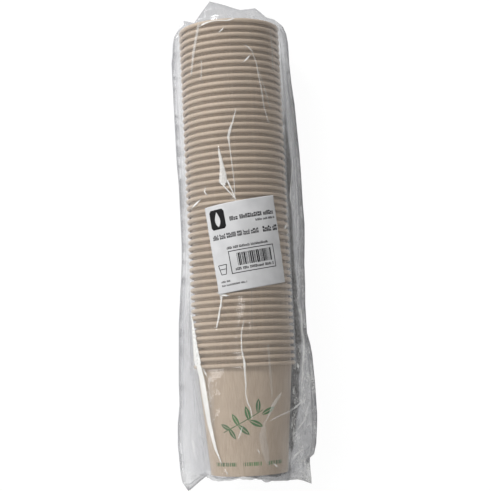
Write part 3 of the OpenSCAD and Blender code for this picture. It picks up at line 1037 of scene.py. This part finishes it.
def film_sleeve():
    """The film sleeve as one piece, with all that its finish reads kept at its points."""
    creases = crease_lines()
    sets = crease_sets(creases)
    points, faces, upper_count = film_mesh(creases)
    mesh = bpy.data.meshes.new("clear_film_sleeve")
    mesh.from_pydata([p * MM for p in points], [], faces)
    mesh.validate()
    x, y, z = np.array([p[:] for p in points]).T
    upper = np.arange(len(points)) < upper_count
    fields = film_fields(x, y, z, upper)
    for k, members in enumerate(sets):
        side, near, gaps, _ = crease_fields(members, x, y)
        fields[f"crease_{k}_side"] = side
        fields[f"crease_{k}_near"] = near * upper
        fields[f"crease_{k}_gaps"] = gaps
    for name, values in fields.items():
        layer = mesh.attributes.new(name, "FLOAT", "POINT")
        layer.data.foreach_set("value", values.astype(np.float32))
    mesh.materials.append(film_finish(len(sets)))
    mesh.shade_smooth()
    sleeve = placed("film_sleeve_clear", mesh)
    wall = sleeve.modifiers.new("film_wall", "SOLIDIFY")
    wall.thickness = FILM_T * MM
    wall.offset = 0.0
    wall.use_even_offset = False
    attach(sleeve, "sleeve")
    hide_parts("film_sleeve")


def crease_highlights(paint, crease_count, broken):
    """Where the painted highlight of a crease of any set shows: over its half width, with gaps where it is
    broken up.
    """
    shown = paint.number(0.0)
    for k in range(crease_count):
        side, near, gaps = (paint.field(f"crease_{k}_{name}") for name in ("side", "near", "gaps"))
        shown = shown.at_least(abs(side).between(1.05, 0.65) * near * (1 - gaps * (1 - broken)))
    return shown


def film_finish(crease_count):
    """Clear film: mostly see-through, with a grey haze, a gloss, painted shadow and glowing painted
    highlights on creases.
    """
    paint = Finish("clear_film")
    here = paint.add("ShaderNodeTexCoord").outputs["Object"]
    haze, painted_shadow, rough = (paint.field(name) for name in ("haze", "painted_shadow", "crumpled"))
    folds = paint.noise(paint.scaled(here, (1.0, 0.14, 1.0)), 190.0, 3.0, 0.6, 0.4)
    crumple = paint.noise(here, 170.0, 3.0, 0.6, 1.2)
    clouds = paint.noise(here, 60.0, 2.0)

    # Painted highlights: white creases, and fine white lines and sparks where the film is crumpled
    ridge = (1 - abs(folds - 0.5) * 9.0).at_least(0.0)
    broken = paint.noise(here, 900.0, 2.0, 0.7).between(0.42, 0.56)
    line = crease_highlights(paint, crease_count, broken)
    crackle_glints = (1 - abs(crumple - 0.5) * 14.0).at_least(0.0) * clouds.between(0.45, 0.62)
    sparks = paint.noise(here, 620.0, 1.0).between(0.62, 0.68) * clouds.between(0.42, 0.54)
    glint = (crackle_glints * rough.between(0.45, 0.9)).at_least(sparks * rough.between(0.6, 0.9))
    painted_highlight = line.between(0.02, 0.2).at_least(glint.between(0.2, 0.8))

    # Film that is seen aslant has more of its haze in the line of sight
    facing = paint.sum_of(paint.add("ShaderNodeLayerWeight", {"Blend": 0.5}).outputs["Facing"])
    slant = 1 / (1 - facing).at_least(0.2)
    opaque = haze * (0.86 + (crumple - 0.5) * rough * 1.5) + ridge * (haze * 0.08 + 0.008)
    opaque = 1 - (1 - opaque.up_to(0.9).at_least(0.0)).math("POWER", slant)
    # The painted highlights also make the film opaque white
    opaque = opaque.at_least(line.at_least(glint * 0.75) * 0.8).up_to(0.95)

    # The haze's grey, turned towards the painted shadow and mottled where the film is crumpled
    mottle = paint.noise(here, 420.0, 2.0, 0.6)
    blotched_shadow = (painted_shadow * (1 - (mottle - 0.5) * rough * 3.0)).at_least(0.0).up_to(1.0)
    haze_and_painted_shadow = paint.shade(colour(200, 201, 205), colour(90, 88, 85), blotched_shadow)
    # The painted highlights are white and also glow a little, as if lit, though the film is no lamp
    white = colour(232, 232, 230)
    paint.set(Base_Color=paint.shade(haze_and_painted_shadow, white, painted_highlight), Roughness=0.24 + crumple * 0.16,
              Emission_Color=paint.shade((0, 0, 0, 1), white, painted_highlight), Emission_Strength=0.12,
              Specular_IOR_Level=0.0)
    wrinkled = paint.bump(ridge * 0.2 + crumple * (0.25 + rough * 0.75), 0.3 * MM, 0.5)

    clear = paint.add("ShaderNodeBsdfTransparent")
    sheen = paint.add("ShaderNodeBsdfGlossy", {"Color": (1, 1, 1, 1), "Roughness": 0.1, "Normal": wrinkled})
    # The gloss is dimmed where the shadow is painted
    gloss = (facing.math("POWER", 4.0) * 0.22 + 0.012) * (1 - painted_shadow * 0.7)
    paint.show(paint.mixed(gloss, paint.mixed(opaque, clear, paint.body), sheen))
    return paint.material


# The paper label

def on_label(u, v, lift):
    """A place of the label, u and v millimetres from its lower left corner and lifted off its middle layer,
    once the label is bent round the film with its edges a little loose."""
    across, along = u - LABEL_W / 2, v - LABEL_L / 2
    c, s = math.cos(LABEL_TURN), math.sin(LABEL_TURN)
    around = across * c - along * s
    y = LABEL_Y + across * s + along * c
    border = min(u, v, LABEL_W - u, LABEL_L - v)
    wave = 0.06 + 0.03 * math.sin(u * 0.5 + v * 0.2) + 0.03 * math.sin(v * 0.45)
    edge = max(0.0, 1 - border / 2.0) * 0.06 * (1 + math.sin(v * 0.6 + u * 0.3))
    corner = max(0.0, 1 - math.hypot(u, v) / 9) * 0.5
    radius = FILM_OVER_RIM + 0.1 + LABEL_T / 2 + wave + edge + corner + lift
    turn = LABEL_ROUND + around / FILM_OVER_RIM
    return (radius * math.sin(turn) * MM, y * MM, (AXIS_Z + radius * math.cos(turn)) * MM)


def label_piece(name, points, faces, lift, thickness, finish):
    """A flat piece of the label, bent onto the film, with its thickness."""
    mesh = bpy.data.meshes.new(name)
    mesh.from_pydata([on_label(u, v, lift) for u, v in points], [], faces)
    layer = mesh.attributes.new("sheet_place", "FLOAT_VECTOR", "POINT")
    layer.data.foreach_set("vector", np.array([(u, v, 0) for u, v in points], np.float32).ravel())
    mesh.materials.append(finish)
    mesh.shade_smooth()
    piece = placed(name, mesh)
    wall = piece.modifiers.new("wall", "SOLIDIFY")
    wall.thickness = thickness * MM
    wall.offset = 0.0
    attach(piece, "sleeve")
    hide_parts("label")


def patch(points, faces, low, high, step):
    """Adds a flat grid of faces between two corners, small enough to be bent."""
    columns = max(1, math.ceil((high[0] - low[0]) / step))
    rows = max(1, math.ceil((high[1] - low[1]) / step))
    first = len(points)
    points += [(low[0] + (high[0] - low[0]) * i / columns, low[1] + (high[1] - low[1]) * j / rows)
               for j in range(rows + 1) for i in range(columns + 1)]
    for j in range(rows):
        for i in range(columns):
            a = first + j * (columns + 1) + i
            faces.append((a, a + 1, a + columns + 2, a + columns + 1))


# The print's places on the label: left, foot, right and head, in millimetres from its lower left corner.
# A row of unreadable print also has the width of one mark and how bold it is
PRINT_ROWS = [
    (16.9, 48.3, 49.8, 51.3, 1.6, 1.0), (34.4, 45.2, 50.2, 46.7, 0.95, 0.55),
    (2.8, 36.9, 35.6, 40.4, 1.1, 0.5), (38.6, 36.8, 51.0, 40.7, 1.6, 0.95),
    (11.2, 29.2, 41.2, 30.9, 0.95, 0.55), (14.6, 14.0, 43.4, 15.8, 1.3, 0.6),
    (3.2, 7.2, 9.8, 8.4, 0.85, 0.5), (3.2, 4.6, 21.0, 5.8, 0.85, 0.5),
]
BARS = (17.0, 17.0, 42.8, 25.7)
BARS_FRAME = (11.6, 12.0, 44.8, 27.9)
BLOCK = (3.0, 44.0, 13.8, 57.8)
SMALL_CUP = (3.2, 12.8, 9.0, 19.4)
FRAME_LINE = 0.55
CUP_LINE = 0.5
PAPER_STEP = 0.81
PRINT_STEP = 1.2
INK_T = 0.02


def unread_row(points, faces, row, draw):
    """One row of short marks, in groups, that stand for print too small to read. Each mark is cut in two,
    upright or across."""
    left, foot, right, head, cell, bold = row
    place, in_group = left, 0
    while place < right - cell * 0.6:
        width = cell * (draw.uniform(0.3, 0.6) + 0.3 * bold)
        tall = head - (head - foot) * draw.choice([0.0, 0.0, 0.26])
        if draw.uniform() < 0.4:
            patch(points, faces, (place, foot), (place + width * 0.46, tall), PRINT_STEP)
            patch(points, faces, (place + width * 0.6, foot), (place + width, tall), PRINT_STEP)
        else:
            patch(points, faces, (place, foot), (place + width, foot + (tall - foot) * 0.46), PRINT_STEP)
            patch(points, faces, (place, foot + (tall - foot) * 0.6), (place + width, tall), PRINT_STEP)
        place += width + cell * 0.16
        in_group += 1
        if in_group > 3 and draw.uniform() < 0.24:
            place += cell * 0.7
            in_group = 0


def outline_frame(points, faces, corners, line):
    """The four lines of a frame."""
    left, foot, right, head = corners
    patch(points, faces, (left, foot), (right, foot + line), PRINT_STEP)
    patch(points, faces, (left, head - line), (right, head), PRINT_STEP)
    patch(points, faces, (left, foot + line), (left + line, head - line), PRINT_STEP)
    patch(points, faces, (right - line, foot + line), (right, head - line), PRINT_STEP)


def stroke(points, faces, start, end, width):
    """A straight printed line between two places."""
    a, b = Vector(start), Vector(end)
    out = (b - a).orthogonal().normalized() * width / 2
    parts = max(1, math.ceil((b - a).length / PRINT_STEP))
    first = len(points)
    for k in range(parts + 1):
        place = a + (b - a) * (k / parts)
        points += [tuple(place - out), tuple(place + out)]
    for k in range(first, first + 2 * parts, 2):
        faces.append((k, k + 2, k + 3, k + 1))


def small_cup(points, faces):
    """A small outline of a plain cup, with a line across its middle."""
    left, foot, right, head = SMALL_CUP
    taper, middle = 1.2, foot + 3.6
    for start, end in (((left, head), (right, head)),
                       ((left + taper, foot), (right - taper, foot)),
                       ((left, head), (left + taper, foot)),
                       ((right, head), (right - taper, foot)),
                       ((left + taper / 2, middle), (right - taper / 2, middle))):
        stroke(points, faces, start, end, CUP_LINE)


def leaf_block(points, faces):
    """A filled block with round corners and a bare leaf in its middle: a net of faces on each side."""
    left, foot, right, head = BLOCK
    middle, low, high = (left + right) / 2, foot + 1.6, head - 1.6
    corner_r, leaf_half, parts = 1.2, 1.9, 5
    heights = [foot, *np.linspace(low, high, 15), head]
    for side, outer in ((-1, left), (1, right)):
        first = len(points)
        for v in heights:
            share = min(max((v - low) / (high - low), 0), 1)
            bare = leaf_half * math.sin(math.pi * share**0.8)
            into_corner = max(0, corner_r - min(v - foot, head - v))
            rounding = corner_r - math.sqrt(max(corner_r**2 - into_corner**2, 0))
            inner = middle + side * bare
            end = outer - side * rounding
            points += [(inner + (end - inner) * t, v) for t in np.linspace(0, 1, parts + 1)]
        for j in range(len(heights) - 1):
            for i in range(parts):
                a = first + j * (parts + 1) + i
                above = a + parts + 1
                faces.append((a, a + 1, above + 1, above) if side > 0 else (a + 1, a, above, above + 1))


def label_print(ink):
    """The label's generic black print: a block, unreadable rows, a framed row of bars and a small cup."""
    draw = np.random.RandomState(31)
    points, faces = [], []
    leaf_block(points, faces)
    for row in PRINT_ROWS:
        unread_row(points, faces, row, draw)
    place, foot, right, head = BARS
    while place < right - 0.9:
        width = draw.choice([0.3, 0.45, 0.7, 1.0])
        patch(points, faces, (place, foot), (place + width, head), PRINT_STEP)
        place += width + draw.choice([0.25, 0.35, 0.55])
    outline_frame(points, faces, BARS_FRAME, FRAME_LINE)
    small_cup(points, faces)
    label_piece("label_print", points, faces, LABEL_T / 2 + INK_T / 4, INK_T, ink)


def label_sheet(paper):
    """The paper itself."""
    points, faces = [], []
    patch(points, faces, (0, 0), (LABEL_W, LABEL_L), PAPER_STEP)
    label_piece("paper_label", points, faces, 0.0, LABEL_T, paper)


def paper_finish():
    """Cool white paper with a fine grain."""
    paint = Finish("label_paper")
    place = paint.attribute("sheet_place").outputs["Vector"]
    grain = paint.noise(place, 2.4, 4.0, 0.7)
    clouds = paint.noise(place, 0.09, 2.0)
    white = paint.shade(colour(194, 194, 195), colour(205, 205, 206), clouds.between(0.3, 0.7))
    white = paint.shade(white, colour(180, 180, 182), grain.between(0.5, 0.8) * 0.4)
    paint.set(Base_Color=white, Roughness=0.5 + grain * 0.15)
    paint.bump(grain, 0.03 * MM, 0.5)
    return paint.material


def ink_finish():
    """Dull black print, thinner in places where the paper's grain shows through."""
    paint = Finish("label_ink")
    place = paint.attribute("sheet_place").outputs["Vector"]
    grain = paint.noise(place, 3.0, 4.0, 0.7)
    black = paint.shade(colour(10, 10, 12), colour(46, 46, 50), grain.between(0.5, 0.75))
    paint.set(Base_Color=black, Roughness=0.55 + grain * 0.2, Specular_IOR_Level=0.15)
    return paint.material


# The stage, in metres

FLOOR_REACH = 12.0
WORLD_LIGHT = 0.34
# Each lamp's place, the place it aims at, its width, its length and its watts
LAMPS = {
    "key": ((-0.62, 0.95, 0.95), (0, 0, 0.03), 0.5, 0.5, 17.0),
    "side_strip": ((-1.0, -0.25, 0.42), (0, -0.05, 0.03), 0.12, 0.9, 2.4),
    "top_strip": ((-0.28, -0.1, 1.35), (0, 0, 0.03), 0.07, 0.7, 1.8),
}


def camera():
    """The photograph's camera."""
    data = bpy.data.cameras.new("camera")
    data.lens, data.sensor_width = FOCAL_PX / FRAME_PX * SENSOR_MM, SENSOR_MM
    data.clip_start, data.clip_end = 0.05, 20
    seen = placed("camera", data)
    seen.matrix_world = Matrix.Translation(Vector(CAMERA_PLACE) * MM) @ camera_turn().to_4x4()
    bpy.context.scene.camera = seen


def softbox(name, place, aim, width, length, watts):
    """A soft lamp at a place, turned to what it aims at, in metres."""
    data = bpy.data.lights.new(name, "AREA")
    data.shape, data.size, data.size_y, data.energy = "RECTANGLE", width, length, watts
    lamp = placed(name, data)
    lamp.location = place
    lamp.rotation_mode = "QUATERNION"
    lamp.rotation_quaternion = (Vector(aim) - Vector(place)).to_track_quat("-Z", "Y")


def white_where_seen(paint, share):
    """A mask of the rays that meet the white background: the camera's, and those of gloss and glass."""
    path = paint.add("ShaderNodeLightPath")
    seen = paint.sum_of(path.outputs["Is Camera Ray"])
    for ray in ("Is Glossy Ray", "Is Transmission Ray"):
        seen = seen.at_least(paint.sum_of(path.outputs[ray]))
    return seen * share


def floor():
    """The wide white floor, mostly shining for the camera, so that only a little shadow shows."""
    reach = FLOOR_REACH
    mesh = bpy.data.meshes.new("floor")
    mesh.from_pydata([(-reach, -reach, 0), (reach, -reach, 0), (reach, reach, 0), (-reach, reach, 0)],
                     [], [(0, 1, 2, 3)])
    paint = Finish("white_floor")
    paint.set(Base_Color=(0.86, 0.86, 0.86, 1), Roughness=0.9, Specular_IOR_Level=0.0)
    glow = paint.add("ShaderNodeEmission", {"Color": (1, 1, 1, 1), "Strength": 1.05})
    paint.show(paint.mixed(white_where_seen(paint, 0.9), paint.body, glow))
    mesh.materials.append(paint.material)
    placed("floor", mesh)


def studio():
    """An even pale surround, white where it is seen, and three soft lamps."""
    world = bpy.data.worlds.new("studio")
    bpy.context.scene.world = world
    world.use_nodes = True
    nodes = world.node_tree.nodes
    tree = Tree(nodes, world.node_tree.links)
    soft = nodes["Background"]
    soft.inputs["Color"].default_value = (1, 1, 1, 1)
    soft.inputs["Strength"].default_value = WORLD_LIGHT
    white = tree.add("ShaderNodeBackground", {"Color": (1, 1, 1, 1), "Strength": 1.0})
    mixed = tree.mixed(white_where_seen(tree, 1.0), soft, white)
    tree.feed(nodes["World Output"].inputs["Surface"], mixed.outputs[0])
    for name, lamp in LAMPS.items():
        softbox(name, *lamp)
    bpy.context.scene.view_settings.view_transform = "Standard"


def make_cups():
    """Fifty cups, each of a side wall and a bottom. The first and the last have a CAD node for each."""
    board = board_finish()
    group = rolled_board()
    wall = outline_mesh("wall_outline", wall_outline())
    bottom = outline_mesh("bottom_outline", bottom_outline())
    for body in CUPS:
        side = board_piece(f"{body}_side_wall", body, group, wall, board)
        disc = board_piece(f"{body}_let_in_bottom", body, group, bottom, board)
        nodes = cup_nodes(body)
        if len(nodes) == 2:
            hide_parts(nodes[0])
            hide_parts(nodes[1])
        else:
            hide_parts(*nodes)
            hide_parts(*nodes)


camera()
floor()
studio()
make_cups()
film_sleeve()
label_sheet(paper_finish())
label_print(ink_finish())
